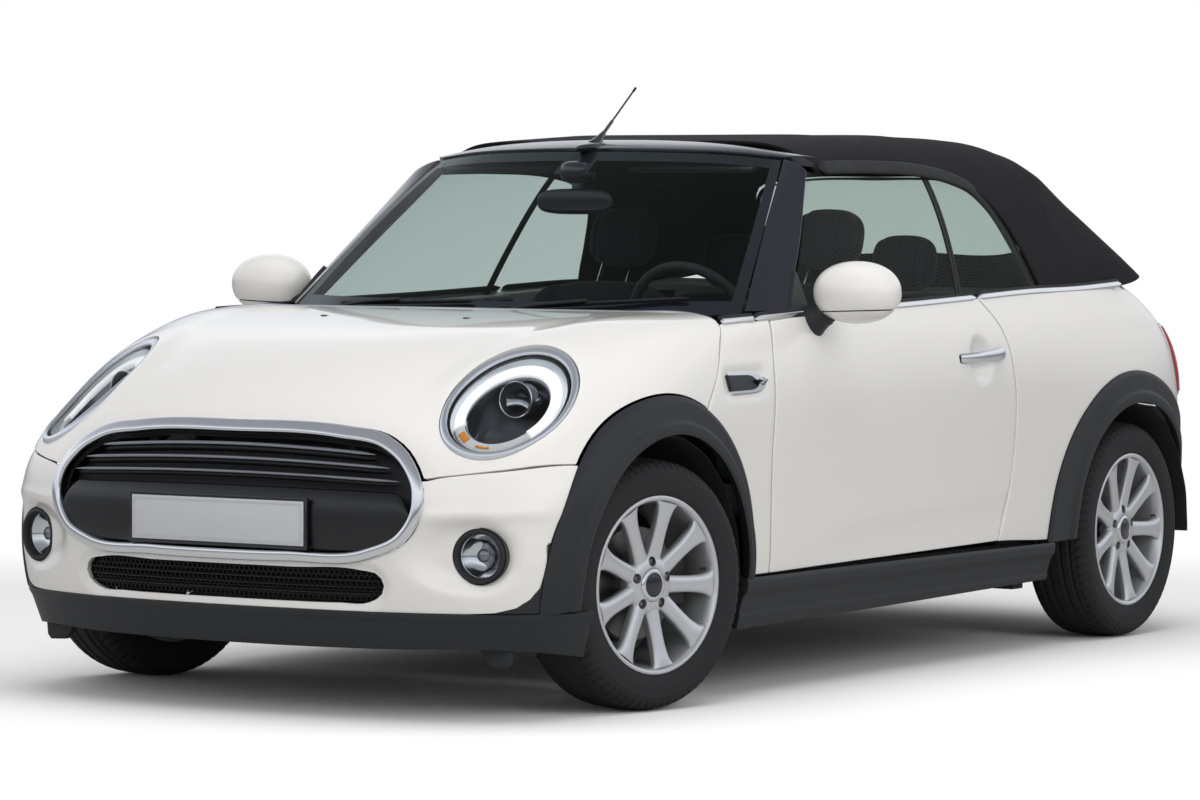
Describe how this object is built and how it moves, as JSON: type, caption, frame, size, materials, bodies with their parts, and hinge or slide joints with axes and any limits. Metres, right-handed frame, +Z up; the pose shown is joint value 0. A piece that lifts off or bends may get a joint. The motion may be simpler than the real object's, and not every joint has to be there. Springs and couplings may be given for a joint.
{
  "type": "convertible car",
  "caption": "Small two-door convertible car with its soft top up: opening doors, bonnet and drop-down tailgate, steered front wheels and free-turning wheels.",
  "frame": {"origin": "on the ground under the middle of the car's length and width", "axes": "+Z up, -Y towards the car's front, +X towards the car's left side"},
  "size_m": [2.086, 3.803, 1.5401],
  "materials": {
    "tyre": "matte",
    "alloy": "satin",
    "cast_iron": "rough",
    "steel": "satin",
    "underbody": "matte",
    "paint": "gloss",
    "black_plastic": "satin",
    "gloss_black": "gloss",
    "chrome": "polished",
    "plate": "satin",
    "lens": "clear",
    "red_lens": "gloss",
    "glass": "clear",
    "fabric": "woven",
    "seat": "woven"
  },
  "bodies": {
    "body": {"front_subframe": "steel", "rear_axle": "steel", "floor": "underbody", "bulkhead": "underbody", "front_rails": "underbody", "engine": "cast_iron", "fuel_tank": "black_plastic", "front_bumper": "paint", "lower_skirts": "black_plastic", "grille_surround": "chrome", "grilles": "black_plastic", "grille_bars": "gloss_black", "number_plates": "plate", "headlamps": "lens", "fog_lamps": "lens", "scuttles": "paint", "rear_quarters": "paint", "rear_bumper": "paint", "claddings": "black_plastic", "quarter_glass": "glass", "windscreen": "glass", "windscreen_frame": "gloss_black", "cowl": "black_plastic", "soft_top": "fabric", "rear_window": "glass", "tail_lamps": "red_lens", "antenna": "black_plastic", "seat_left": "seat", "seat_right": "seat", "rear_seat": "seat", "dashboard": "black_plastic", "inner_mirror": "black_plastic"},
    "knuckle_left": {"knuckle_left": "cast_iron"},
    "knuckle_right": {"knuckle_right": "cast_iron"},
    "front_left_wheel": {"tyre_front_left": "tyre", "wheel_front_left": "alloy"},
    "front_right_wheel": {"tyre_front_right": "tyre", "wheel_front_right": "alloy"},
    "rear_left_wheel": {"tyre_rear_left": "tyre", "wheel_rear_left": "alloy"},
    "rear_right_wheel": {"tyre_rear_right": "tyre", "wheel_rear_right": "alloy"},
    "left_door": {"door_left": "paint", "door_glass_left": "glass", "mirror_left": "paint"},
    "right_door": {"door_right": "paint", "door_glass_right": "glass", "mirror_right": "paint"},
    "bonnet_lid": {"bonnet": "paint", "headlamp_rings": "chrome"},
    "tailgate_lid": {"tailgate": "paint"},
    "steering": {"steering_wheel": "black_plastic"}
  },
  "joints": [
    {"name": "steer_left", "type": "hinge", "parent": "body", "child": "knuckle_left", "pos_m": [0.69, -1.203, 0.306], "axis": [0, 0, 1], "range_deg": [-23.1, 44.9]},
    {"name": "steer_right", "type": "hinge", "parent": "body", "child": "knuckle_right", "pos_m": [-0.69, -1.203, 0.306], "axis": [0, 0, 1], "range_deg": [-23.1, 44.9]},
    {"name": "steering_turn", "type": "hinge", "parent": "body", "child": "steering", "pos_m": [0.345, -0.2895, 0.9], "axis": [0, 0.9135, 0.4067], "range_deg": [-300.3, 583.7]},
    {"name": "front_left_spin", "type": "hinge", "parent": "knuckle_left", "child": "front_left_wheel", "pos_m": [0.74155, -1.21293, 0.306], "axis": [0.982, -0.1891, 0], "continuous": true},
    {"name": "front_right_spin", "type": "hinge", "parent": "knuckle_right", "child": "front_right_wheel", "pos_m": [-0.74155, -1.19307, 0.306], "axis": [0.982, -0.1891, 0], "continuous": true},
    {"name": "rear_left_spin", "type": "hinge", "parent": "body", "child": "rear_left_wheel", "pos_m": [0.7425, 1.292, 0.306], "axis": [1, 0, 0], "continuous": true},
    {"name": "rear_right_spin", "type": "hinge", "parent": "body", "child": "rear_right_wheel", "pos_m": [-0.7425, 1.292, 0.306], "axis": [1, 0, 0], "continuous": true},
    {"name": "left_door_hinge", "type": "hinge", "parent": "body", "child": "left_door", "pos_m": [0.834, -0.6595, 0.6], "axis": [0, 0, -1], "range_deg": [0, 68]},
    {"name": "right_door_hinge", "type": "hinge", "parent": "body", "child": "right_door", "pos_m": [-0.834, -0.6595, 0.6], "axis": [0, 0, 1], "range_deg": [0, 68]},
    {"name": "bonnet_hinge", "type": "hinge", "parent": "body", "child": "bonnet_lid", "pos_m": [0, -0.7995, 0.93], "axis": [-1, 0, 0], "range_deg": [0, 52]},
    {"name": "tailgate_hinge", "type": "hinge", "parent": "body", "child": "tailgate_lid", "pos_m": [0, 1.8965, 0.64], "axis": [-1, 0, 0], "range_deg": [0, 88]}
  ],
  "couplings": [
    {"joint": "steer_right", "follows": "steer_left", "ratio": 1},
    {"joint": "steering_turn", "follows": "steer_left", "ratio": 13}
  ]
}
